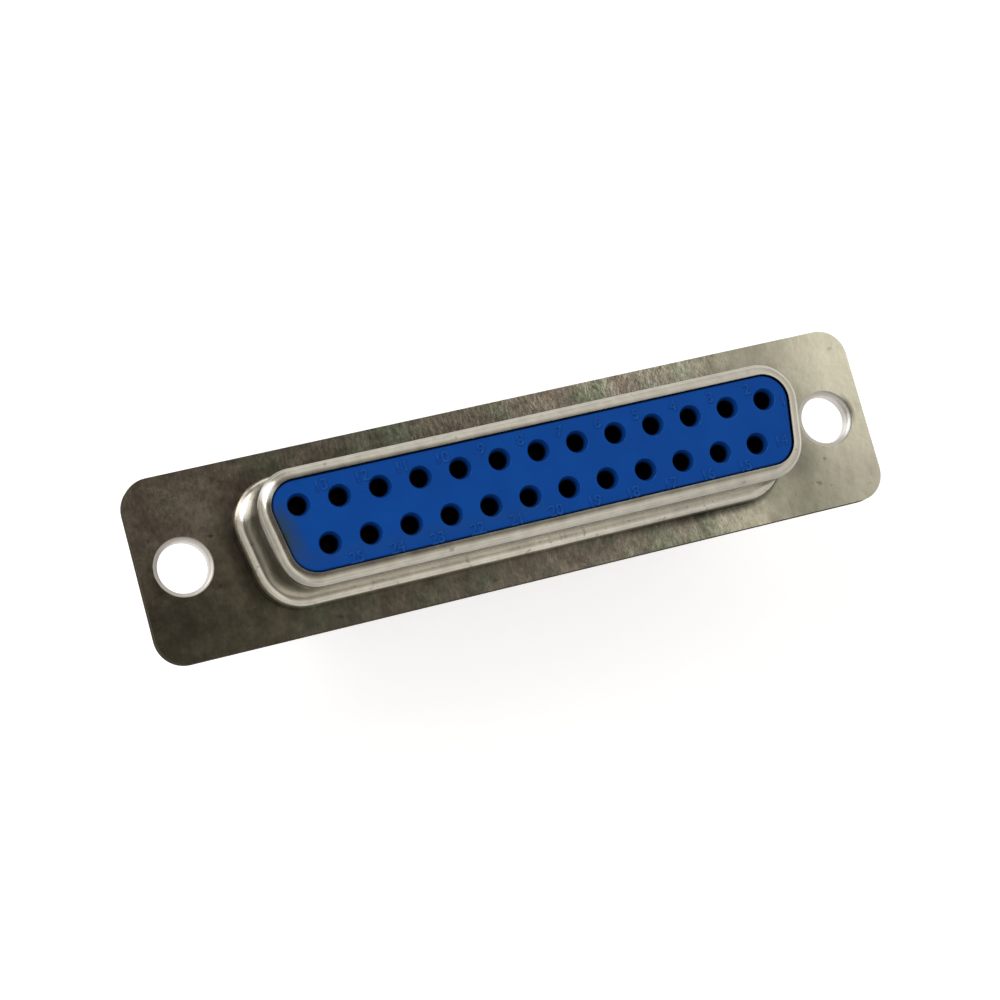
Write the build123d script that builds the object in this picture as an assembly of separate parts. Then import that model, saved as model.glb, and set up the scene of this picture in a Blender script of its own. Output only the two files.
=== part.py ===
from build123d import *
import math
import os

# D-sub socket connector with 25 positions, all sizes in millimetres.
# X runs along the flange, Y points from the 12-contact row to the 13-contact row, and +Z points
# out of the mating face. The origin is the centre of the front of the flange, midway between the
# mounting holes.

# Contact grid
PITCH = 2.76
ROW_SPACING = 2.84
TOP_COUNT = 13
BOTTOM_COUNT = 12

# Front shell: one drawn sheet with flange, step, shroud and rolled rim. The step's rounding is
# wider than the step, so its top still slopes where the shroud rises from it
FRONT_SHEET = 0.45
SIDE_ANGLE = 10.0
END_WALL = 2.59
ROW_WALL = 2.53
SHROUD_CORNER = 2.6
SHROUD_HEIGHT = 6.2
RIM_RADIUS = 0.75
LIP_WIDTH = 0.8
STEP_HEIGHT = 1.15
STEP_WIDTH = 0.58
STEP_RADIUS = 0.75

# Rear shell: the second drawn sheet, with a D-shaped box behind the flange
REAR_SHEET = 0.45
BOX_MARGIN = 1.4
BOX_DEPTH = 4.0
BOX_RADIUS = 0.75
BOX_LIP_WIDTH = 1.15
BOX_FOOT_RADIUS = 0.15

# Mounting holes and the collars that join the two shells
HOLE_DIAMETER = 3.4
HOLE_LIP_RADIUS = 0.33
COLLAR_WALL = 0.35
COLLAR_CLEARANCE = 0.05
STAKE_WIDTH = 0.4
STAKE_THICKNESS = 0.3
HOLE_LAND = 2.97
FLANGE_END = 3.0
FLANGE_BORDER = 0.9
FLANGE_CORNER = 2.0

# Insulators
INSULATOR_CLEARANCE = 0.05
FACE_GAP = 0.07
FACE_RECESS = 0.1
FACE_RADIUS = 0.15
BLOCK_PROUD = 0.4
MOUTH_DIAMETER = 1.54
MOUTH_DEPTH = 0.45
THROAT_DIAMETER = 1.2
THROAT_DEPTH = 1.3

# Contacts
PIN_BORE = 1.04
BORE_DEPTH = 5.0
LEAD_IN = 0.1
SOCKET_WALL = 0.23
SOCKET_ROOM = 0.12
TIP_CLEARANCE = 0.05
SLOT_WIDTH = 0.22
SLOT_LENGTH = 3.6
SHOULDER_WIDTH = 0.3
SHOULDER_LENGTH = 0.8
SHOULDER_CLEARANCE = 0.05
CUP_BORE = 1.2
CUP_WALL = 0.2
CUP_PROUD = 5.4
CUP_DEPTH = 2.9
CUP_OPENING = 2.1
CUP_SLOPE = 0.5
TAIL_CLEARANCE = 0.05

# Distance within which an edge counts as lying on an outline
ON_OUTLINE = 0.001

# Outline of the shroud at its outer wall
SHROUD_WIDTH = (TOP_COUNT - 1) * PITCH + 2 * END_WALL
SHROUD_BREADTH = ROW_SPACING + 2 * ROW_WALL

# Levels along Z, from the mating face back to the ends of the solder cups
LIP_Z = SHROUD_HEIGHT - FRONT_SHEET
FACE_Z = SHROUD_HEIGHT - FACE_RECESS
THROAT_Z = FACE_Z - MOUTH_DEPTH
CAVITY_TOP_Z = THROAT_Z - THROAT_DEPTH
SOCKET_TIP_Z = CAVITY_TOP_Z - TIP_CLEARANCE
STEP_SEAT_Z = STEP_HEIGHT - FRONT_SHEET
PARTING_Z = -FRONT_SHEET
SHOULDER_SEAT_Z = PARTING_Z - SHOULDER_LENGTH
FLANGE_BACK_Z = PARTING_Z - REAR_SHEET
BOX_BACK_Z = FLANGE_BACK_Z - BOX_DEPTH
BOX_SEAT_Z = BOX_BACK_Z + REAR_SHEET
BLOCK_BACK_Z = BOX_BACK_Z - BLOCK_PROUD
CUP_END_Z = BLOCK_BACK_Z - CUP_PROUD

# Inner radii of the drawn sheets' bends
RIM_BEND = RIM_RADIUS - FRONT_SHEET
STEP_BEND = STEP_RADIUS - FRONT_SHEET
BOX_BEND = BOX_RADIUS - REAR_SHEET

# Radii of the contacts and of what they pass through
SOCKET_RADIUS = PIN_BORE / 2 + SOCKET_WALL
CAVITY_RADIUS = SOCKET_RADIUS + SOCKET_ROOM
CUP_RADIUS = CUP_BORE / 2 + CUP_WALL
SHOULDER_RADIUS = CUP_RADIUS + SHOULDER_WIDTH

# Mounting holes and flange
HOLE_X = SHROUD_WIDTH / 2 + BOX_MARGIN + HOLE_LAND
COLLAR_RADIUS = HOLE_DIAMETER / 2 + COLLAR_WALL
STAKE_RADIUS = COLLAR_RADIUS + STAKE_WIDTH
FLANGE_LENGTH = 2 * (HOLE_X + FLANGE_END)
FLANGE_BREADTH = SHROUD_BREADTH + 2 * (BOX_MARGIN + FLANGE_BORDER)


def d_outline(grow):
    """D outline of the shroud's outer wall, moved out by grow on every side."""
    half_width = SHROUD_WIDTH / 2 + grow
    half_breadth = SHROUD_BREADTH / 2 + grow
    corner = SHROUD_CORNER + grow
    slope = math.tan(math.radians(SIDE_ANGLE))
    corner_slack = corner / math.cos(math.radians(SIDE_ANGLE)) - corner
    middle = half_width + corner_slack - (half_breadth - corner) * slope
    top = middle + half_breadth * slope
    bottom = middle - half_breadth * slope
    sides = Polyline(
        (-top, half_breadth),
        (top, half_breadth),
        (bottom, -half_breadth),
        (-bottom, -half_breadth),
        close=True,
    )
    face = make_face(sides)
    return fillet(face.vertices(), corner)


def prism(outline, low, high):
    """An outline drawn straight up from one level to another."""
    return Pos(0, 0, low) * extrude(outline, high - low)


def rounded_prism(grow, low, high, radius):
    """The D outline, moved out by grow, drawn up between two levels and rounded at its top."""
    outline = d_outline(grow)
    return fillet(edges_on(prism(outline, low, high), outline, high), radius)


def rod(radius, low, high):
    """A round bar on the Z axis between two levels."""
    return Pos(0, 0, low) * Cylinder(radius, high - low, align=(Align.CENTER, Align.CENTER, Align.MIN))


def funnel(low_radius, high_radius, low, high):
    """A cone on the Z axis that changes its radius between two levels."""
    cone = Cone(low_radius, high_radius, high - low, align=(Align.CENTER, Align.CENTER, Align.MIN))
    return Pos(0, 0, low) * cone


def edges_on(solid, outline, level):
    """The edges of a solid that run along an outline at one level."""
    wire = (Pos(0, 0, level) * outline).face().outer_wire()
    return [edge for edge in solid.edges() if wire.distance_to(edge @ 0.5) < ON_OUTLINE]


def flange(low, high):
    """The flat plate that both shells have, with rounded corners."""
    return prism(RectangleRounded(FLANGE_LENGTH, FLANGE_BREADTH, FLANGE_CORNER), low, high)


def at_holes(shape):
    """A shape repeated on the axes of both mounting holes."""
    return [Pos(side * HOLE_X, 0, 0) * shape for side in (-1, 1)]


def contact_places():
    """Number, x, y and outward direction of each contact, in the usual order of a socket."""
    rows = ((TOP_COUNT, 1), (BOTTOM_COUNT, -1))
    number = 0
    for count, side in rows:
        for place in range(count):
            number += 1
            x = ((count - 1) / 2 - place) * PITCH
            yield number, x, side * ROW_SPACING / 2, side


def at_contacts(shape):
    """A shape repeated on the axis of every contact."""
    return [Pos(x, y, 0) * shape for number, x, y, side in contact_places()]


def front_shell():
    """Drawn sheet: flange, step, D-shaped shroud with rolled rim, and staked collars."""
    step = rounded_prism(STEP_WIDTH, PARTING_Z, STEP_HEIGHT, STEP_RADIUS)
    shroud = rounded_prism(0, PARTING_Z, SHROUD_HEIGHT, RIM_RADIUS)
    outside = flange(PARTING_Z, 0) + step + shroud

    inside = rounded_prism(-FRONT_SHEET, PARTING_Z, LIP_Z, RIM_BEND)
    inside += rounded_prism(STEP_WIDTH - FRONT_SHEET, PARTING_Z, STEP_SEAT_Z, STEP_BEND)
    mouth = prism(d_outline(-LIP_WIDTH), LIP_Z - RIM_RADIUS, SHROUD_HEIGHT)
    shell = outside - inside - mouth

    stake_back_z = FLANGE_BACK_Z - STAKE_THICKNESS
    collar = rod(COLLAR_RADIUS, FLANGE_BACK_Z, PARTING_Z) + rod(STAKE_RADIUS, stake_back_z, FLANGE_BACK_Z)
    shell = shell + at_holes(collar) - at_holes(rod(HOLE_DIAMETER / 2, stake_back_z, 0))
    for level in (0, stake_back_z):
        for ring in at_holes(Circle(HOLE_DIAMETER / 2)):
            shell = fillet(edges_on(shell, ring, level), HOLE_LIP_RADIUS)
    return shell


def rear_shell():
    """Drawn sheet: flange and a D-shaped box whose back edge turns in as a lip."""
    outside = flange(FLANGE_BACK_Z, PARTING_Z) + prism(d_outline(BOX_MARGIN), BOX_BACK_Z, PARTING_Z)
    outside = fillet(edges_on(outside, d_outline(BOX_MARGIN), BOX_BACK_Z), BOX_RADIUS)
    outside = fillet(edges_on(outside, d_outline(BOX_MARGIN), FLANGE_BACK_Z), BOX_FOOT_RADIUS)

    inner_grow = BOX_MARGIN - REAR_SHEET
    inside = prism(d_outline(inner_grow), BOX_SEAT_Z, PARTING_Z)
    inside = fillet(edges_on(inside, d_outline(inner_grow), BOX_SEAT_Z), BOX_BEND)
    mouth = prism(d_outline(BOX_MARGIN - BOX_LIP_WIDTH), BOX_BACK_Z, PARTING_Z)
    holes = at_holes(rod(COLLAR_RADIUS + COLLAR_CLEARANCE, FLANGE_BACK_Z, PARTING_Z))
    return outside - inside - mouth - holes


def front_insulator():
    """Blue moulding: flange under the step, body in the shroud, face in the rolled rim."""
    body_grow = -FRONT_SHEET - INSULATOR_CLEARANCE
    face_grow = -LIP_WIDTH - FACE_GAP
    foot = rounded_prism(STEP_WIDTH + body_grow, PARTING_Z, STEP_SEAT_Z, STEP_BEND)
    body = rounded_prism(body_grow, PARTING_Z, LIP_Z, RIM_BEND)
    face = rounded_prism(face_grow, PARTING_Z, FACE_Z, FACE_RADIUS)

    cavity = funnel(THROAT_DIAMETER / 2, MOUTH_DIAMETER / 2, THROAT_Z, FACE_Z)
    cavity += rod(THROAT_DIAMETER / 2, CAVITY_TOP_Z, THROAT_Z)
    cavity += rod(CAVITY_RADIUS, PARTING_Z, CAVITY_TOP_Z)
    return foot + body + face - at_contacts(cavity)


def rear_insulator():
    """Blue moulding: fills the rear box, seats the shoulders, and stands out behind as a block."""
    body_grow = BOX_MARGIN - REAR_SHEET - INSULATOR_CLEARANCE
    block_grow = BOX_MARGIN - BOX_LIP_WIDTH - INSULATOR_CLEARANCE
    body = prism(d_outline(body_grow), BOX_SEAT_Z, PARTING_Z)
    body = fillet(edges_on(body, d_outline(body_grow), BOX_SEAT_Z), BOX_BEND)
    block = prism(d_outline(block_grow), BLOCK_BACK_Z, BOX_SEAT_Z)
    seat = rod(SHOULDER_RADIUS + SHOULDER_CLEARANCE, SHOULDER_SEAT_Z, PARTING_Z)
    seat += rod(CUP_RADIUS + TAIL_CLEARANCE, BLOCK_BACK_Z, SHOULDER_SEAT_Z)
    return body + block - at_contacts(seat)


def contact():
    """Socket contact on the Z axis, with its solder cup open towards +Y."""
    body = rod(SOCKET_RADIUS, PARTING_Z, SOCKET_TIP_Z)
    body += rod(SHOULDER_RADIUS, SHOULDER_SEAT_Z, PARTING_Z)
    body += rod(CUP_RADIUS, CUP_END_Z, SHOULDER_SEAT_Z)
    pin_hole = rod(PIN_BORE / 2, SOCKET_TIP_Z - BORE_DEPTH, SOCKET_TIP_Z)
    pin_hole += funnel(PIN_BORE / 2, PIN_BORE / 2 + LEAD_IN, SOCKET_TIP_Z - LEAD_IN, SOCKET_TIP_Z)
    slot = Pos(0, 0, SOCKET_TIP_Z - SLOT_LENGTH / 2) * Box(SLOT_WIDTH, 2 * SOCKET_RADIUS, SLOT_LENGTH)
    cup = rod(CUP_BORE / 2, CUP_END_Z, CUP_END_Z + CUP_DEPTH)
    side_cut = Polyline(
        (0, CUP_END_Z),
        (0, CUP_END_Z + CUP_OPENING),
        (CUP_RADIUS, CUP_END_Z + CUP_OPENING + CUP_SLOPE),
        (CUP_RADIUS, CUP_END_Z),
        close=True,
    )
    opening = extrude(Plane.YZ * make_face(side_cut), CUP_RADIUS, both=True)
    return body - pin_hole - slot - cup - opening


def main():
    """Builds every piece and writes each one to its own file."""
    pieces = {
        "front_shell": front_shell(),
        "rear_shell": rear_shell(),
        "front_insulator": front_insulator(),
        "rear_insulator": rear_insulator(),
    }
    socket = contact()
    for number, x, y, side in contact_places():
        turn = 0 if side > 0 else 180
        pieces[f"contact_{number:02d}"] = Pos(x, y, 0) * Rot(0, 0, turn) * socket
    os.makedirs("parts", exist_ok=True)
    for name, piece in pieces.items():
        export_step(piece, f"parts/{name}.step")


main()
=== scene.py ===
import bpy
import math
from mathutils import Matrix, Vector


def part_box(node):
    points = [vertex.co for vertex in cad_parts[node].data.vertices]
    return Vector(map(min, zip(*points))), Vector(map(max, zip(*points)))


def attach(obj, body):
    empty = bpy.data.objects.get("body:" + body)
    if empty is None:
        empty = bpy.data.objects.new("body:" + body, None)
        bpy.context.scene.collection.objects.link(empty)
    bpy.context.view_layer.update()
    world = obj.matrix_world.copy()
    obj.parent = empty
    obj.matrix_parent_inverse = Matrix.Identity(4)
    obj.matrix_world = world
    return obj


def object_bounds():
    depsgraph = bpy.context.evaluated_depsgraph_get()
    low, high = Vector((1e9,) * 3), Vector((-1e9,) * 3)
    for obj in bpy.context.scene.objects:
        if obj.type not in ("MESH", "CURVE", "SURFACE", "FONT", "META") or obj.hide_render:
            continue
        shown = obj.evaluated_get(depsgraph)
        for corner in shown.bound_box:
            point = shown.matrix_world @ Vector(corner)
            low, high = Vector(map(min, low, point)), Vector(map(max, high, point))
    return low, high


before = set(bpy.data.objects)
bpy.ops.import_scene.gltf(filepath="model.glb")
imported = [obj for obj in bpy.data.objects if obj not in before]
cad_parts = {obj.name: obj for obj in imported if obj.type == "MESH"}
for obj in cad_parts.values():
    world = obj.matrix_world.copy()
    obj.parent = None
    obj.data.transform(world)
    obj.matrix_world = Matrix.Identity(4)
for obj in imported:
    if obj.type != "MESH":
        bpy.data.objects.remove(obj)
cad_low, cad_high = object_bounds()

# Everything is in metres; sizes below are written in millimetres and multiplied by MM
MM = 0.001


def stretch(start, full):
    """Where a look starts and where it is full, given in millimetres."""
    return start * MM, full * MM


# Contact grid, as in the solids
PITCH = 2.76 * MM
ROW_SPACING = 2.84 * MM
TOP_COUNT = 13
BOTTOM_COUNT = 12
MOUTH_DIAMETER = 1.54 * MM
THROAT_Z = 5.65 * MM

# Camera, fitted to the 25 contact holes and the edges of the flange
CAMERA_PLACE = Vector((-54.08, -21.10, 159.75)) * MM
CAMERA_TARGET = Vector((-1.46, -0.41, 0.0)) * MM
CAMERA_ROLL = math.radians(-15.36)
LENS = 90.18
SENSOR = 36.0

# Small raised numerals beside the contact holes
NUMERAL_SIZE = 1.05 * MM
NUMERAL_RELIEF = 0.04 * MM
NUMERAL_SINK = 0.01 * MM
NUMERAL_BEVEL = 0.018 * MM
NUMERAL_SPACING = 0.95

# From a hole to its numeral: beside the first hole of a row, outward of the gap beside the others
FIRST_TOP_SHIFT = (1.35 * MM, -0.40 * MM)
FIRST_BOTTOM_SHIFT = (1.75 * MM, -0.20 * MM)
TOP_SHIFT = (1.72 * MM, 0.90 * MM)
BOTTOM_SHIFT = (1.45 * MM, -1.30 * MM)

# Thin flash left by the core pins at the lower right of each hole, pale as a painted highlight; angles are
# in radians
FLASH_START = math.radians(-105)
FLASH_SWEEP = math.radians(110)
FLASH_TURN = 0.35
FLASH_WIDTH = 0.035 * MM
FLASH_THINNEST = 0.05
FLASH_POINTS = 22

# The room overhead: a dark oval, with a bright patch beside it
ROOM_STRENGTH = 1.0
OVAL_CENTRE = -0.06
OVAL_REACH = 0.42
OVAL_SHEAR = 0.1
OVAL_TOP = 0.40
OVAL_BOTTOM = -0.36

# Past the oval's top and bottom the distance from its middle grows slowly: up to which y, by how much
FAR_TOP = (0.75, 0.18)
FAR_BOTTOM = (-0.84, 0.22)

# Lightness of the room by the distance from the middle of the oval, where its edge is at 1
OVAL_LEVELS = (
    (0.0, 0.085), (0.70, 0.085), (0.81, 0.11), (0.93, 0.16), (1.0, 0.20), (1.08, 0.28), (1.15, 0.42),
    (1.21, 0.65), (1.27, 0.98), (1.4, 0.88), (1.6, 0.78), (2.0, 0.70), (3.0, 0.62),
)
OVAL_FARTHEST = 4.0

# The bright patch: its direction, the cosines where it starts and is full, and how bright it is
PATCH_AXIS = Vector((0.50, 0.20, 0.84)).normalized()
PATCH_EDGE = (0.97, 0.995)
PATCH_STRENGTH = 1.3

# One square soft lamp, above the upper left of the part
KEY_PLACE = Vector((-0.27, 0.32, 0.30))
KEY_SIZE = 0.30
KEY_POWER = 1.0

# Half the width of the floor in metres, and the light added to what is seen of it
FLOOR_HALF = 3.0
FLOOR_LIFT = 0.55

# Outer edges of the flange, from the frame, and the thickness of each of its two sheets
FLANGE_HALF_LENGTH = cad_high.x
FLANGE_HALF_BREADTH = cad_high.y
SHEET = 0.45 * MM

# Outline of the shroud, as in the solids: sides that lean by 10 degrees, and round corners
SHROUD_SLOPE = math.tan(math.radians(10))
SHROUD_MIDDLE = 18.95 * MM
SHROUD_HALF_BREADTH = 3.95 * MM
SHROUD_CORNER = 2.6 * MM

# Axes of the mounting holes, and round them the outer edge of a hole's lip and how fast the lip fades
HOLE_X = 23.52 * MM
HOLE_LIP_EDGE = 2.03 * MM
HOLE_LIP_FADE = 0.08 * MM

# Round places on the steel, as x, y, z and radius in millimetres: three painted highlights at the upper
# left corner of the shroud, and the painted shade of a dent and a painted glint at the right mounting hole
STEP_HIGHLIGHT = (-19.04, 2.77, 1.1, 0.95)
RIM_HIGHLIGHT = (-18.2, 2.65, 6.0, 0.85)
FOOT_HIGHLIGHT = (-19.3, 3.4, 0.3, 2.3)
HOLE_DENT_SHADE = (25.60, 0.45, 0.0, 1.3)
HOLE_GLINT = (25.25, -1.0, 0.0, 1.1)

# Patches of the flange that are darker, or lighter where the share is below zero, partly stains and partly
# painted shade and painted light: x, y, radius and share
FLANGE_PATCHES = (
    (-25.6, -3.6, 4.5, 0.28), (-21.9, 3.2, 2.6, -0.40), (17.0, 5.8, 4.0, 0.20), (15.2, -5.8, 2.6, -0.28),
    (24.8, -5.6, 3.5, 0.12), (21.3, 0.4, 3.0, 0.12), (20.7, -2.4, 1.7, 0.32),
)

# Stretches along x
LEFT_TINT_X = stretch(-15.5, -19.5)
LEFT_FOOT_X = stretch(-16, -19.5)
LEFT_CORNER_X = stretch(-16.5, -17.5)
LEFT_GRAIN_X = stretch(-17, -8)
FIGURE_X = stretch(-14, 8)
SMEAR_X = stretch(0, -1)
LOWER_RIGHT_X = stretch(2, 12)
RIGHT_TINT_X = stretch(12, 17)
BOTH_ENDS_X = stretch(16, 21)
RIGHT_BAND_INNER_X = stretch(17, 20)
RIGHT_BAND_OUTER_X = stretch(24.5, 20.5)

# Stretches along x, from the plain right end to the mottled middle
LINES_X = stretch(17, 12)
GRAIN_X = stretch(18, 12)
TONE_X = stretch(19, 13)
RELIEF_X = stretch(19, 14)

# Stretches along y
LOWER_SIDE_Y = stretch(-2, -3)
FLANGE_Y = stretch(-4, 4)
LEFT_TINT_Y = stretch(-4.5, 2)
UPPER_RIM_Y = stretch(-1, 2)

# Stretches along z; shade is painted in the cavities in front of the flange only
FRONT_SIDE_Z = stretch(-0.1, 0)
CAVITIES_Z = stretch(0, 0.5)
CUT_EDGE_Z = stretch(0.06, 0.02)
LOW_STEP_Z = stretch(1.0, 0.72)
STEP_TOP_Z = stretch(1.5, 1.2)
STEP_Z = stretch(1.8, 1.3)
HOLLOW_Z = stretch(2.4, 1.4)
END_WALL_Z = stretch(5.5, 4.9)
RIM_Z = stretch(5.2, 5.5)
FACE_Z = stretch(5.0, 5.4)
FUNNEL_Z = stretch(5.3, 5.5)
BELOW_MOUTH_Z = (THROAT_Z + 0.25 * MM, THROAT_Z - 0.1 * MM)

# Stretches by the distance from the joint of the two sheets or, for the last, past the flange's edges
DRAWN_FROM_JOINT = stretch(0.47, 0.62)
JOINT_LINE = stretch(0.05, 0.02)
NEAR_EDGE = stretch(-0.75, -0.65)

# Stretches by the distance outside the outline of the shroud, which is below zero inside it
# The first three place painted shade: round the foot of the step, beside it at the lower right, and in the
# hollow at the left end
FOOT_SHADE = stretch(1.9, 0.6)
DARK_FOOT = stretch(1.15, 0.75)
HOLLOW = stretch(0.22, 0.08)
BESIDE_RIM = stretch(-2.3, -1.0)

# The line at the foot of the step where a highlight is painted: such a distance, and a stretch from there
HIGHLIT_FOOT = 0.48 * MM
HIGHLIT_FOOT_WIDTH = stretch(0.30, 0.10)

# Stretch by the distance from the axis of a mounting hole: where the dent's shade is painted
DENT_SHADE_RING = stretch(2.42, 2.12)

# The smear on the insulator's face along the left end of the rim: its middle and its stretch from there
SMEAR_Y = -0.3 * MM
SMEAR_REACH = stretch(2.5, 0.75)

# Stretches by how squarely a surface faces along z or, for the last, along x
CUT_FACING = (0.9, 0.5)
STEEP = (0.75, 0.2)
ROLLED = (0.92, 0.50)
LEVEL = (0.93, 0.98)
FUNNEL_FACING = (0.97, 0.80)
END_FACING = (0.5, 0.8)


def srgb(red, green, blue):
    """A colour given in 0 to 255 display values, as the linear colour that a shader takes."""
    def linear(value):
        value /= 255
        return value / 12.92 if value <= 0.04045 else ((value + 0.055) / 1.055) ** 2.4
    return (linear(red), linear(green), linear(blue), 1.0)


class Nodes:
    """A short way to add and join shader nodes. A value is a number, a colour or another node's output."""

    def __init__(self, tree):
        self.tree = tree
        tree.nodes.clear()

    def add(self, kind, **settings):
        """A new node with its settings."""
        node = self.tree.nodes.new(kind)
        for name, setting in settings.items():
            setattr(node, name, setting)
        return node

    def link(self, source, target):
        """Joins an output to an input."""
        self.tree.links.new(source, target)

    def feed(self, value, target):
        """Joins an input to an output, or sets it to a number or a colour."""
        if hasattr(value, "links"):
            self.link(value, target)
        else:
            target.default_value = value

    def noise(self, place, scale, detail=4.0, roughness=0.55, stretched=None):
        """Soft noise from 0 to 1 with about `scale` blobs to the metre."""
        node = self.add("ShaderNodeTexNoise")
        node.inputs["Scale"].default_value = scale
        node.inputs["Detail"].default_value = detail
        node.inputs["Roughness"].default_value = roughness
        if stretched:
            mapping = self.add("ShaderNodeMapping")
            mapping.inputs["Scale"].default_value = stretched
            self.link(place, mapping.inputs["Vector"])
            place = mapping.outputs["Vector"]
        self.link(place, node.inputs["Vector"])
        return node.outputs["Fac"]

    def ramp(self, value, stops):
        """A colour that runs through the stops, each a position and a colour."""
        node = self.add("ShaderNodeValToRGB")
        elements = node.color_ramp.elements
        while len(elements) < len(stops):
            elements.new(0.5)
        for element, (position, colour) in zip(elements, stops):
            element.position = position
            element.color = colour
        self.link(value, node.inputs["Fac"])
        return node.outputs["Color"]

    def math(self, operation, first, second=0.0):
        """One step of arithmetic."""
        node = self.add("ShaderNodeMath", operation=operation)
        self.feed(first, node.inputs[0])
        self.feed(second, node.inputs[1])
        return node.outputs["Value"]

    def plus(self, first, second):
        """A sum."""
        return self.math("ADD", first, second)

    def minus(self, first, second):
        """A difference."""
        return self.math("SUBTRACT", first, second)

    def times(self, product, *factors):
        """The product of two or more values."""
        for factor in factors:
            product = self.math("MULTIPLY", product, factor)
        return product

    def size_of(self, value):
        """A value without its sign."""
        return self.math("ABSOLUTE", value)

    def greater(self, first, second):
        """The greater of two values."""
        return self.math("MAXIMUM", first, second)

    def diagonal(self, first, second):
        """The length across two distances at right angles."""
        squares = self.plus(self.times(first, first), self.times(second, second))
        return self.math("POWER", squares, 0.5)

    def outside(self, mask):
        """1 where a mask is 0, and 0 where it is 1."""
        return self.minus(1.0, mask)

    def less(self, level, mask, share):
        """A level taken down by a share where a mask is 1."""
        return self.times(level, self.outside(self.times(mask, share)))

    def span(self, value, low, high, out_low=0.0, out_high=1.0):
        """Goes from one output to the other while a value goes from low to high, and stays there."""
        node = self.add("ShaderNodeMapRange")
        names = ("From Min", "From Max", "To Min", "To Max")
        for name, number in zip(names, (low, high, out_low, out_high)):
            node.inputs[name].default_value = number
        self.link(value, node.inputs["Value"])
        return node.outputs["Result"]

    def mix(self, factor, first, second, blend="MIX"):
        """The first colour at factor 0, the second one at factor 1."""
        node = self.add("ShaderNodeMix", data_type="RGBA", blend_type=blend)
        self.feed(factor, node.inputs["Factor"])
        inputs = [socket for socket in node.inputs if socket.type == "RGBA"]
        self.feed(first, inputs[0])
        self.feed(second, inputs[1])
        return [socket for socket in node.outputs if socket.type == "RGBA"][0]

    def bump(self, height, distance, normal=None):
        """The normal of a surface with a fine relief."""
        node = self.add("ShaderNodeBump")
        node.inputs["Strength"].default_value = 1.0
        node.inputs["Distance"].default_value = distance
        self.link(height, node.inputs["Height"])
        if normal:
            self.link(normal, node.inputs["Normal"])
        return node.outputs["Normal"]

    def axes(self, vector):
        """The x, y and z of a vector."""
        node = self.add("ShaderNodeSeparateXYZ")
        self.link(vector, node.inputs["Vector"])
        return node.outputs["X"], node.outputs["Y"], node.outputs["Z"]

    def facing(self):
        """How squarely the surface faces along x, y and z, each from 0 to 1."""
        normal = self.add("ShaderNodeNewGeometry").outputs["Normal"]
        return [self.size_of(axis) for axis in self.axes(normal)]

    def spot(self, place, x, y, z, radius):
        """1 at a centre, fading to 0 at a radius, both given in millimetres."""
        away = self.add("ShaderNodeVectorMath", operation="DISTANCE")
        self.link(place, away.inputs[0])
        away.inputs[1].default_value = (x * MM, y * MM, z * MM)
        return self.span(away.outputs["Value"], radius * MM, 0.3 * radius * MM)


def new_material(name):
    """A material with an output and a principled shader, with its node helper and object coordinates."""
    material = bpy.data.materials.new(name)
    material.use_nodes = True
    nodes = Nodes(material.node_tree)
    output = nodes.add("ShaderNodeOutputMaterial")
    shader = nodes.add("ShaderNodeBsdfPrincipled")
    nodes.link(shader.outputs["BSDF"], output.inputs["Surface"])
    place = nodes.add("ShaderNodeTexCoord").outputs["Object"]
    return material, nodes, shader, place


def beyond_shroud(nodes, x, y):
    """How far a place lies outside the outline of the shroud, seen from the front."""
    half = nodes.plus(nodes.times(y, SHROUD_SLOPE), SHROUD_MIDDLE - SHROUD_CORNER)
    aside = nodes.greater(nodes.minus(nodes.size_of(x), half), 0.0)
    across = nodes.greater(nodes.minus(nodes.size_of(y), SHROUD_HALF_BREADTH - SHROUD_CORNER), 0.0)
    return nodes.minus(nodes.diagonal(aside, across), SHROUD_CORNER)


def contour_lines(nodes, place, scale, width):
    """Thin meandering lines, where a noise passes its middle value, kept in places only."""
    level = nodes.size_of(nodes.minus(nodes.noise(place, scale, detail=2.0), 0.5))
    kept = nodes.span(nodes.noise(place, scale * 0.7, detail=1.0), 0.52, 0.60)
    return nodes.times(nodes.span(level, width, 0.0), kept)


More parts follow.
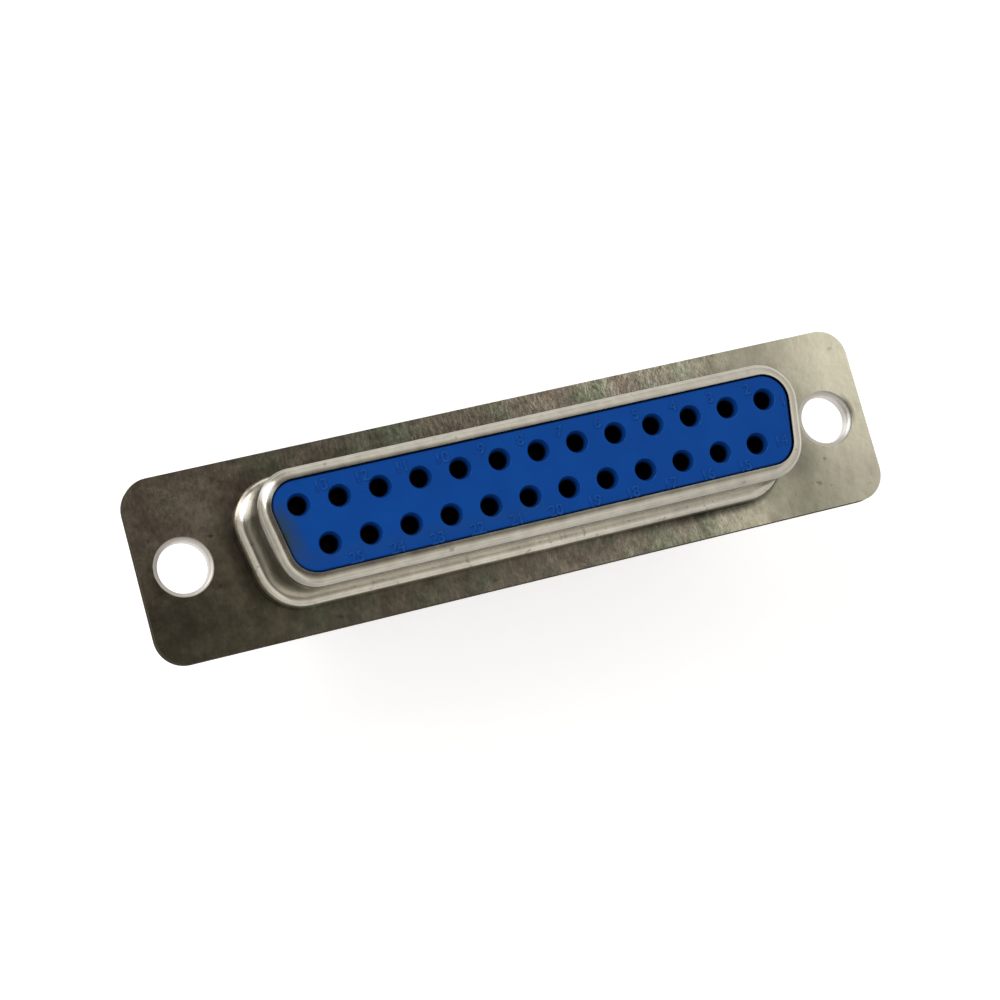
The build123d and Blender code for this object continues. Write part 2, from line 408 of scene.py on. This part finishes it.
class Steel:
    """What the look of the steel depends on: where a place lies, how it faces, and what noise is there.

    Each mask is 1 in its own part of the steel and 0 elsewhere: `flat` in the flat of the flanges and
    `drawn` in all that is drawn out of it, `in_front` before the flange, `left` from the left end of the
    shroud outward, `lip` round the mounting holes, `edge` at the cut outer edges, and one more mask where
    highlights are painted on the upper left corner.
    """

    def __init__(self, nodes, place):
        self.nodes = nodes
        self.place = place
        self.x, self.y, self.z = nodes.axes(place)
        self.along_x, _, self.along_z = nodes.facing()
        self.from_joint = nodes.size_of(nodes.plus(self.z, SHEET))
        self.drawn = nodes.span(self.from_joint, *DRAWN_FROM_JOINT)
        self.flat = nodes.outside(self.drawn)
        self.left = nodes.span(self.x, *LEFT_CORNER_X)
        self.in_front = nodes.span(self.z, *FRONT_SIDE_Z)
        self.beyond = beyond_shroud(nodes, self.x, self.y)
        self.from_hole = nodes.diagonal(nodes.minus(nodes.size_of(self.x), HOLE_X), self.y)
        self.lip = nodes.span(self.from_hole, HOLE_LIP_EDGE, HOLE_LIP_EDGE - HOLE_LIP_FADE)
        self.edge = nodes.times(self.cut_edge(), nodes.outside(self.lip))
        self.scuff = self.scuffs()
        self.cloud = nodes.noise(place, 300, detail=3.0)
        self.tone = nodes.noise(place, 850, roughness=0.6)
        self.grain = nodes.noise(place, 3400, roughness=0.7, stretched=(1.0, 0.6, 1.0))
        self.grained = self.grain_strength()

    def cut_edge(self):
        """1 on the sheared outer edges of the flanges, 0 elsewhere."""
        nodes = self.nodes
        past_end = nodes.minus(nodes.size_of(self.x), FLANGE_HALF_LENGTH)
        past_side = nodes.minus(nodes.size_of(self.y), FLANGE_HALF_BREADTH)
        outermost = nodes.span(nodes.greater(past_end, past_side), *NEAR_EDGE)
        upright = nodes.span(self.along_z, *CUT_FACING)
        return nodes.times(outermost, upright, nodes.span(self.z, *CUT_EDGE_Z))

    def scuffs(self):
        """1 where highlights are painted on the upper left corner, and unevenly along the foot of the step
        there.
        """
        nodes = self.nodes
        at_foot = nodes.span(nodes.size_of(nodes.minus(self.beyond, HIGHLIT_FOOT)), *HIGHLIT_FOOT_WIDTH)
        uneven = nodes.span(nodes.noise(self.place, 1300), 0.35, 0.60, 0.2, 0.9)
        foot = nodes.times(at_foot, self.drawn, nodes.spot(self.place, *FOOT_HIGHLIGHT), uneven)
        corner = nodes.greater(nodes.spot(self.place, *STEP_HIGHLIGHT), nodes.spot(self.place, *RIM_HIGHLIGHT))
        return nodes.greater(corner, foot)

    def grain_strength(self):
        """How strongly the grain shows: on the flange, less at its ends and on its lower side."""
        nodes = self.nodes
        from_right = nodes.span(self.x, *GRAIN_X, 0.12, 1.2)
        from_left = nodes.span(self.x, *LEFT_GRAIN_X, 0.9, 1.2)
        return nodes.times(self.flat, from_right, from_left, nodes.span(self.y, *FLANGE_Y, 0.75, 1.35))


def mark_steel(nodes, steel, level):
    """Small dark marks, freckles on the front step, and thin light and dark lines worn into the flange."""
    marks = nodes.span(nodes.noise(steel.place, 1000, detail=3.0), 0.66, 0.72)
    level = nodes.less(level, marks, 0.35)
    on_step = nodes.times(nodes.span(steel.z, *STEP_Z), steel.in_front, steel.drawn)
    freckles = nodes.span(nodes.noise(steel.place, 1900, detail=2.0), 0.62, 0.67)
    level = nodes.less(level, nodes.times(freckles, on_step), 0.30)
    worn = nodes.times(steel.flat, nodes.span(steel.x, *LINES_X, 0.12, 1.0))
    light_lines = nodes.times(contour_lines(nodes, steel.place, 420, 0.006), worn)
    dark_lines = nodes.times(contour_lines(nodes, steel.place, 610, 0.007), worn)
    return nodes.less(nodes.plus(level, nodes.times(light_lines, 0.35)), dark_lines, 0.30)


def stain_flange(nodes, steel, level):
    """Patches of stain and of painted shade and light on the flange, ends that are darker below and lighter
    above, and a band of painted shade at the right.
    """
    for x, y, radius, share in FLANGE_PATCHES:
        patch = nodes.times(nodes.spot(steel.place, x, y, 0, radius), steel.flat)
        level = nodes.less(level, patch, share)
    ends = nodes.times(nodes.span(nodes.size_of(steel.x), *BOTH_ENDS_X), steel.flat)
    level = nodes.less(level, ends, nodes.span(steel.y, *FLANGE_Y, 0.15, -0.09))
    # Painted shade in a band on the flange just right of the shroud
    inner = nodes.span(steel.x, *RIGHT_BAND_INNER_X)
    outer = nodes.span(steel.x, *RIGHT_BAND_OUTER_X)
    return nodes.less(level, nodes.times(inner, outer, steel.flat), 0.28)


def shade_foot(nodes, steel, level):
    """Painted shade round the step on the flange, mostly at the left, on the foot of the step, most at the
    lower right.
    """
    foot = nodes.times(nodes.span(steel.beyond, *FOOT_SHADE), steel.flat)
    level = nodes.less(level, foot, nodes.span(steel.x, *LEFT_FOOT_X, 0.22, 0.50))
    lower_right = nodes.times(nodes.span(steel.y, *LOWER_SIDE_Y), nodes.span(steel.x, *LOWER_RIGHT_X))
    beside_step = nodes.times(nodes.span(steel.beyond, *DARK_FOOT), steel.flat)
    level = nodes.less(level, nodes.times(beside_step, lower_right), 0.72)
    level = nodes.less(level, nodes.times(steel.drawn, lower_right), 0.16)
    low_side = nodes.times(nodes.span(steel.z, *LOW_STEP_Z), steel.in_front, steel.drawn)
    return nodes.less(level, low_side, nodes.span(lower_right, 0.0, 1.0, 0.55, 0.80))


def shade_walls(nodes, steel, level):
    """Painted shade: slightly darker walls, and much darker ones at the two ends, up to the rim."""
    walls = nodes.times(nodes.span(steel.along_z, *STEEP), steel.drawn)
    level = nodes.less(level, walls, 0.05)
    ends = nodes.times(nodes.span(steel.along_x, *END_FACING), nodes.span(steel.z, *END_WALL_Z))
    return nodes.less(level, nodes.times(walls, ends), 0.45)


def shade_left_corner(nodes, steel, level):
    """At the left end: painted shade in the hollow where the shroud rises, and painted light on the top of
    the step.
    """
    hollow = nodes.times(nodes.span(steel.beyond, *HOLLOW), nodes.span(steel.z, *HOLLOW_Z))
    level = nodes.less(level, nodes.times(hollow, steel.drawn, steel.left), 0.42)
    step_top = nodes.times(nodes.span(steel.along_z, *LEVEL), nodes.span(steel.z, *STEP_TOP_Z))
    return nodes.less(level, nodes.times(step_top, steel.drawn, steel.left), -0.30)


def shade_rim(nodes, steel, level):
    """Painted shade where the rim rolls over and on its upper side, and painted light on its top at the
    left end.
    """
    rim = nodes.span(steel.z, *RIM_Z)
    rolled = nodes.times(nodes.span(steel.along_z, *ROLLED), rim)
    level = nodes.less(level, rolled, nodes.span(steel.left, 0.0, 1.0, 0.48, 0.62))
    level = nodes.less(level, nodes.times(nodes.minus(rim, rolled), steel.left), -0.16)
    return nodes.less(level, nodes.times(rim, nodes.span(steel.y, *UPPER_RIM_Y)), 0.14)


def steel_level(nodes, steel):
    """How light the steel is: its grain and clouds, and then each of the marks, painted shades and painted
    light in turn.
    """
    mottle = nodes.times(nodes.minus(steel.grain, 0.5), steel.grained)
    clouds = nodes.times(nodes.minus(steel.tone, 0.5), nodes.span(steel.x, *TONE_X, 0.35, 1.2))
    level = nodes.plus(1.0, nodes.plus(mottle, nodes.less(clouds, steel.drawn, 0.4)))
    for change in (mark_steel, stain_flange, shade_foot, shade_walls, shade_left_corner, shade_rim):
        level = change(nodes, steel, level)
    return level


def steel_tint(nodes, steel):
    """Pinkish, creamy and greenish clouds on the flange, plainer at its ends, and paler where drawn."""
    clouds = ((0.36, srgb(212, 197, 181)), (0.50, srgb(206, 200, 181)), (0.64, srgb(196, 205, 177)))
    tint = nodes.ramp(steel.cloud, clouds)
    tint = nodes.mix(nodes.span(steel.x, *RIGHT_TINT_X, 0.0, 0.85), tint, srgb(210, 207, 184))
    left_tint = nodes.mix(nodes.span(steel.y, *LEFT_TINT_Y), srgb(207, 200, 174), srgb(214, 198, 182))
    tint = nodes.mix(nodes.span(steel.x, *LEFT_TINT_X, 0.0, 0.75), tint, left_tint)
    return nodes.mix(steel.drawn, tint, srgb(216, 211, 196))


def steel_colour(nodes, steel):
    """The tint with its painted shade and light, the marks at the mounting holes with a dent's painted
    shade and a painted glint, the painted highlights at the upper left and the dark cut edges.
    """
    base = nodes.mix(1.0, steel_tint(nodes, steel), steel_level(nodes, steel), "MULTIPLY")
    # Painted shade of a dent beside the right mounting hole
    dent_shade = nodes.times(nodes.spot(steel.place, *HOLE_DENT_SHADE), nodes.span(steel.from_hole, *DENT_SHADE_RING))
    base = nodes.mix(nodes.times(dent_shade, 0.8), base, srgb(92, 88, 62))
    base = nodes.mix(steel.lip, base, srgb(216, 212, 207))
    # A painted glint on the lip of that hole
    glint = nodes.times(steel.lip, nodes.spot(steel.place, *HOLE_GLINT))
    base = nodes.mix(glint, base, srgb(248, 248, 244))
    # Painted highlights at the upper left corner, and along the foot of the step there
    base = nodes.mix(steel.scuff, base, srgb(244, 241, 236))
    joint = nodes.span(steel.from_joint, *JOINT_LINE)
    return nodes.mix(steel.edge, base, nodes.mix(joint, srgb(84, 78, 67), srgb(22, 20, 17)))


def steel_roughness(nodes, steel):
    """Satin plating, rougher where drawn, cut or under the painted highlights, most of all on the lips of
    the holes.
    """
    rough = nodes.span(steel.tone, 0.3, 0.7, 0.10, 0.16)
    for mask, extra in ((steel.drawn, 0.09), (steel.lip, 0.42), (steel.scuff, 0.25), (steel.edge, 0.35)):
        rough = nodes.plus(rough, nodes.times(mask, extra))
    return rough


def steel_relief(nodes, steel):
    """Slow waves, small dents and fine grain on the flange, calmer at its right end."""
    calm = nodes.times(steel.flat, nodes.span(steel.x, *RELIEF_X, 0.35, 1.0))
    waves = nodes.bump(nodes.times(steel.cloud, calm), 0.035 * MM)
    dents = nodes.bump(nodes.times(steel.tone, calm), 0.007 * MM, waves)
    return nodes.bump(nodes.times(steel.grain, steel.grained), 0.005 * MM, dents)


def plated_steel():
    """Plated sheet steel: a cloudy, grained flange, satin where drawn, light hole lips, dull cut edges."""
    material, nodes, shader, place = new_material("plated_steel")
    steel = Steel(nodes, place)
    nodes.link(steel_colour(nodes, steel), shader.inputs["Base Color"])
    nodes.link(steel_roughness(nodes, steel), shader.inputs["Roughness"])
    nodes.link(steel_relief(nodes, steel), shader.inputs["Normal"])
    nodes.link(nodes.outside(steel.edge), shader.inputs["Metallic"])
    shader.inputs["Specular IOR Level"].default_value = 0.0
    return material


def rim_smear(nodes, place):
    """How much smear is on the face of the insulator, along the left end of the rim."""
    x, y, z = nodes.axes(place)
    beside_rim = nodes.span(beyond_shroud(nodes, x, y), *BESIDE_RIM)
    along = nodes.span(nodes.size_of(nodes.minus(y, SMEAR_Y)), *SMEAR_REACH)
    uneven = nodes.span(nodes.noise(place, 900), 0.30, 0.60, 0.5, 0.85)
    return nodes.times(beside_rim, nodes.span(x, *SMEAR_X), nodes.span(z, *FACE_Z), along, uneven)


def blue_moulding():
    """Satin blue moulded plastic, finely grained, an olive smear at its left end, painted shade in funnels
    and cavities.
    """
    material, nodes, shader, place = new_material("blue_moulding")
    z = nodes.axes(place)[2]
    cloud = nodes.noise(place, 350, detail=3.0)
    grain = nodes.noise(place, 5200, detail=3.0, roughness=0.6)
    base = nodes.ramp(cloud, ((0.3, srgb(0, 71, 158)), (0.7, srgb(2, 77, 166))))
    base = nodes.mix(rim_smear(nodes, place), base, srgb(54, 68, 30))
    # Painted shade on the walls of the funnels
    funnel = nodes.times(nodes.span(nodes.facing()[2], *FUNNEL_FACING), nodes.span(z, *FUNNEL_Z))
    base = nodes.mix(nodes.times(funnel, 0.45), base, srgb(0, 30, 84))
    # Painted shade down in the cavities
    inside = nodes.times(nodes.span(z, *BELOW_MOUTH_Z), nodes.span(z, *CAVITIES_Z))
    nodes.link(nodes.mix(inside, base, srgb(6, 8, 16)), shader.inputs["Base Color"])
    nodes.link(nodes.span(grain, 0.3, 0.7, 0.46, 0.58), shader.inputs["Roughness"])
    nodes.link(nodes.bump(grain, 0.002 * MM, nodes.bump(cloud, 0.012 * MM)), shader.inputs["Normal"])
    shader.inputs["Specular IOR Level"].default_value = 0.15
    return material


def pale_plastic(name, low, high):
    """Plastic of the numerals and the flash, paler than the face as a painted highlight, almost like it at
    the left.
    """
    material, nodes, shader, place = new_material(name)
    tone = nodes.noise(place, 2500, detail=3.0)
    pale = nodes.ramp(tone, ((0.35, low), (0.65, high)))
    shown = nodes.span(nodes.axes(place)[0], *FIGURE_X, 0.25, 1.0)
    nodes.link(nodes.mix(shown, srgb(1, 74, 162), pale), shader.inputs["Base Color"])
    shader.inputs["Roughness"].default_value = 0.46
    shader.inputs["Specular IOR Level"].default_value = 0.2
    return material


def contact_metal():
    """Thin bright plating over brass, a little uneven, and shaded dark down in the cavities."""
    material, nodes, shader, place = new_material("contact_metal")
    tone = nodes.noise(place, 900)
    fine = nodes.noise(place, 6000, detail=3.0)
    colour = nodes.ramp(tone, ((0.3, srgb(212, 184, 122)), (0.7, srgb(230, 206, 150))))
    inside = nodes.span(nodes.axes(place)[2], *CAVITIES_Z)
    nodes.link(nodes.mix(inside, colour, srgb(70, 44, 26)), shader.inputs["Base Color"])
    nodes.link(nodes.span(fine, 0.3, 0.7, 0.22, 0.36), shader.inputs["Roughness"])
    nodes.link(nodes.bump(fine, 0.0015 * MM), shader.inputs["Normal"])
    shader.inputs["Metallic"].default_value = 1.0
    return material


def paper_floor():
    """Plain white floor that takes a soft shadow; what is seen of it is lifted towards white."""
    material, nodes, shader, place = new_material("paper_floor")
    tone = nodes.noise(place, 40, detail=2.0)
    white = nodes.ramp(tone, ((0.3, (0.90, 0.90, 0.90, 1)), (0.7, (0.92, 0.92, 0.92, 1))))
    nodes.link(white, shader.inputs["Base Color"])
    shader.inputs["Roughness"].default_value = 1.0
    shader.inputs["Specular IOR Level"].default_value = 0.0
    ray = nodes.add("ShaderNodeLightPath").outputs
    mirrored = nodes.greater(ray["Is Glossy Ray"], ray["Is Transmission Ray"])
    seen = nodes.greater(ray["Is Camera Ray"], mirrored)
    shader.inputs["Emission Color"].default_value = (1.0, 1.0, 1.0, 1.0)
    nodes.link(nodes.times(seen, FLOOR_LIFT), shader.inputs["Emission Strength"])
    return material


def dress(node, material):
    """Gives a carried-over solid its material."""
    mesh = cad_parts[node].data
    mesh.materials.clear()
    mesh.materials.append(material)


def contact_places():
    """Number, x and y of each contact hole, in the usual order of a socket."""
    number = 0
    for count, side in ((TOP_COUNT, 1), (BOTTOM_COUNT, -1)):
        for place in range(count):
            number += 1
            yield number, ((count - 1) / 2 - place) * PITCH, side * ROW_SPACING / 2


def numeral_shift(number):
    """How far a numeral stands from its hole, along x and y."""
    if number == 1:
        return FIRST_TOP_SHIFT
    if number == TOP_COUNT + 1:
        return FIRST_BOTTOM_SHIFT
    return TOP_SHIFT if number <= TOP_COUNT else BOTTOM_SHIFT


def numerals(material, face_z):
    """The contact numbers 1 to 25, as small raised digits on the face of the insulator."""
    pieces = []
    for number, x, y in contact_places():
        curve = bpy.data.curves.new(f"numeral_{number:02d}", "FONT")
        curve.body = str(number)
        curve.size = NUMERAL_SIZE
        curve.align_x = "CENTER"
        curve.align_y = "CENTER"
        curve.extrude = (NUMERAL_RELIEF + NUMERAL_SINK) / 2
        curve.bevel_depth = NUMERAL_BEVEL
        curve.space_character = NUMERAL_SPACING
        shift_x, shift_y = numeral_shift(number)
        text = bpy.data.objects.new(f"numeral_{number:02d}", curve)
        text.location = (x + shift_x, y + shift_y, face_z + (NUMERAL_RELIEF - NUMERAL_SINK) / 2)
        bpy.context.scene.collection.objects.link(text)
        curve.materials.append(material)
        pieces.append(text)
    return pieces


def mouth_flash(material, face_z):
    """A tapered thread of flash round the lower right of each hole, a little different at each, for a
    painted highlight.
    """
    pieces = []
    radius = MOUTH_DIAMETER / 2 + FLASH_WIDTH / 2
    for number, x, y in contact_places():
        curve = bpy.data.curves.new(f"mouth_flash_{number:02d}", "CURVE")
        curve.dimensions = "3D"
        curve.bevel_depth = FLASH_WIDTH / 2
        curve.bevel_resolution = 2
        curve.use_fill_caps = True
        line = curve.splines.new("POLY")
        line.points.add(FLASH_POINTS - 1)
        turn = FLASH_TURN * math.sin(number * 2.4)
        for index, point in enumerate(line.points):
            part = index / (FLASH_POINTS - 1)
            angle = FLASH_START + turn + FLASH_SWEEP * part
            swell = 0.65 + 0.35 * math.sin(9 * part + number * 1.7)
            point.co = (x + radius * math.cos(angle), y + radius * math.sin(angle), face_z, 1.0)
            point.radius = max(FLASH_THINNEST, math.sin(math.pi * part) * swell)
        flash_highlight = bpy.data.objects.new(f"mouth_flash_{number:02d}", curve)
        bpy.context.scene.collection.objects.link(flash_highlight)
        curve.materials.append(material)
        pieces.append(flash_highlight)
    return pieces


def make_camera():
    """The photograph's view: place, direction and roll come from the fit."""
    forward = (CAMERA_TARGET - CAMERA_PLACE).normalized()
    level_right = forward.cross(Vector((0, 1, 0))).normalized()
    level_up = level_right.cross(forward)
    right = level_right * math.cos(CAMERA_ROLL) + level_up * math.sin(CAMERA_ROLL)
    up = right.cross(forward)
    turn = Matrix((right, up, -forward)).transposed().to_4x4()
    data = bpy.data.cameras.new("camera")
    data.lens = LENS
    data.sensor_width = SENSOR
    data.clip_start = 0.001
    data.clip_end = 100.0
    camera = bpy.data.objects.new("camera", data)
    camera.matrix_world = Matrix.Translation(CAMERA_PLACE) @ turn
    bpy.context.scene.collection.objects.link(camera)
    bpy.context.scene.camera = camera


def make_key_light():
    """A square soft lamp that faces the part."""
    data = bpy.data.lights.new("key", "AREA")
    data.shape = "SQUARE"
    data.size = KEY_SIZE
    data.energy = KEY_POWER
    lamp = bpy.data.objects.new("key", data)
    lamp.location = KEY_PLACE
    lamp.rotation_euler = (-KEY_PLACE).to_track_quat("-Z", "Y").to_euler()
    bpy.context.scene.collection.objects.link(lamp)


def fourth_power(nodes, value):
    """A value squared twice."""
    square = nodes.times(value, value)
    return nodes.times(square, square)


def oval_distance(nodes, direction):
    """How far a direction is from the middle of the dark oval, where 1 is its edge."""
    x, y = nodes.axes(direction)[:2]
    sheared = nodes.plus(x, nodes.times(y, OVAL_SHEAR))
    across = nodes.math("DIVIDE", nodes.minus(sheared, OVAL_CENTRE), OVAL_REACH)
    near = nodes.plus(nodes.span(y, 0.0, OVAL_TOP), nodes.span(y, 0.0, OVAL_BOTTOM))
    far_top = nodes.span(y, OVAL_TOP, FAR_TOP[0], 0.0, FAR_TOP[1])
    far_bottom = nodes.span(y, OVAL_BOTTOM, FAR_BOTTOM[0], 0.0, FAR_BOTTOM[1])
    along = nodes.plus(near, nodes.plus(far_top, far_bottom))
    powers = nodes.plus(fourth_power(nodes, across), fourth_power(nodes, along))
    return nodes.math("POWER", powers, 0.25)


def room_colour(level):
    """The colour of the room at a level of light: warm where it is dark, white where it is light."""
    return level, level * (0.93 + 0.06 * level), level * (0.80 + 0.2 * level), 1.0


def make_world():
    """A soft pale room with a dark oval overhead and a brighter patch beside it."""
    world = bpy.data.worlds.new("soft_room")
    world.use_nodes = True
    bpy.context.scene.world = world
    nodes = Nodes(world.node_tree)
    output = nodes.add("ShaderNodeOutputWorld")
    background = nodes.add("ShaderNodeBackground")
    direction = nodes.add("ShaderNodeTexCoord").outputs["Generated"]
    outward = nodes.math("DIVIDE", oval_distance(nodes, direction), OVAL_FARTHEST)
    stops = [(distance / OVAL_FARTHEST, room_colour(level)) for distance, level in OVAL_LEVELS]
    nodes.link(nodes.ramp(outward, stops), background.inputs["Color"])
    toward = nodes.add("ShaderNodeVectorMath", operation="DOT_PRODUCT")
    nodes.link(direction, toward.inputs[0])
    toward.inputs[1].default_value = PATCH_AXIS
    patch = nodes.span(toward.outputs["Value"], *PATCH_EDGE, ROOM_STRENGTH, PATCH_STRENGTH * ROOM_STRENGTH)
    nodes.link(patch, background.inputs["Strength"])
    nodes.link(background.outputs["Background"], output.inputs["Surface"])


def make_floor(level):
    """A wide pale floor under the ends of the solder cups."""
    mesh = bpy.data.meshes.new("floor")
    corners = [(x * FLOOR_HALF, y * FLOOR_HALF, level) for x, y in ((-1, -1), (1, -1), (1, 1), (-1, 1))]
    mesh.from_pydata(corners, [], [(0, 1, 2, 3)])
    mesh.materials.append(paper_floor())
    floor = bpy.data.objects.new("floor", mesh)
    bpy.context.scene.collection.objects.link(floor)


shell_metal = plated_steel()
plastic = blue_moulding()
plating = contact_metal()
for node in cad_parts:
    if node.startswith("contact_"):
        dress(node, plating)
    elif node.endswith("_shell"):
        dress(node, shell_metal)
    else:
        dress(node, plastic)

face_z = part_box("front_insulator")[1].z
# The numerals and the flash are paler than the face, as a painted highlight
figures = pale_plastic("numeral_plastic", srgb(0, 66, 150), srgb(20, 92, 174))
flash_highlight = pale_plastic("flash_highlight_plastic", srgb(14, 88, 172), srgb(60, 124, 196))
for piece in numerals(figures, face_z) + mouth_flash(flash_highlight, face_z):
    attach(piece, "root")

make_camera()
make_world()
make_floor(cad_low.z)
make_key_light()
bpy.context.scene.view_settings.view_transform = "Standard"
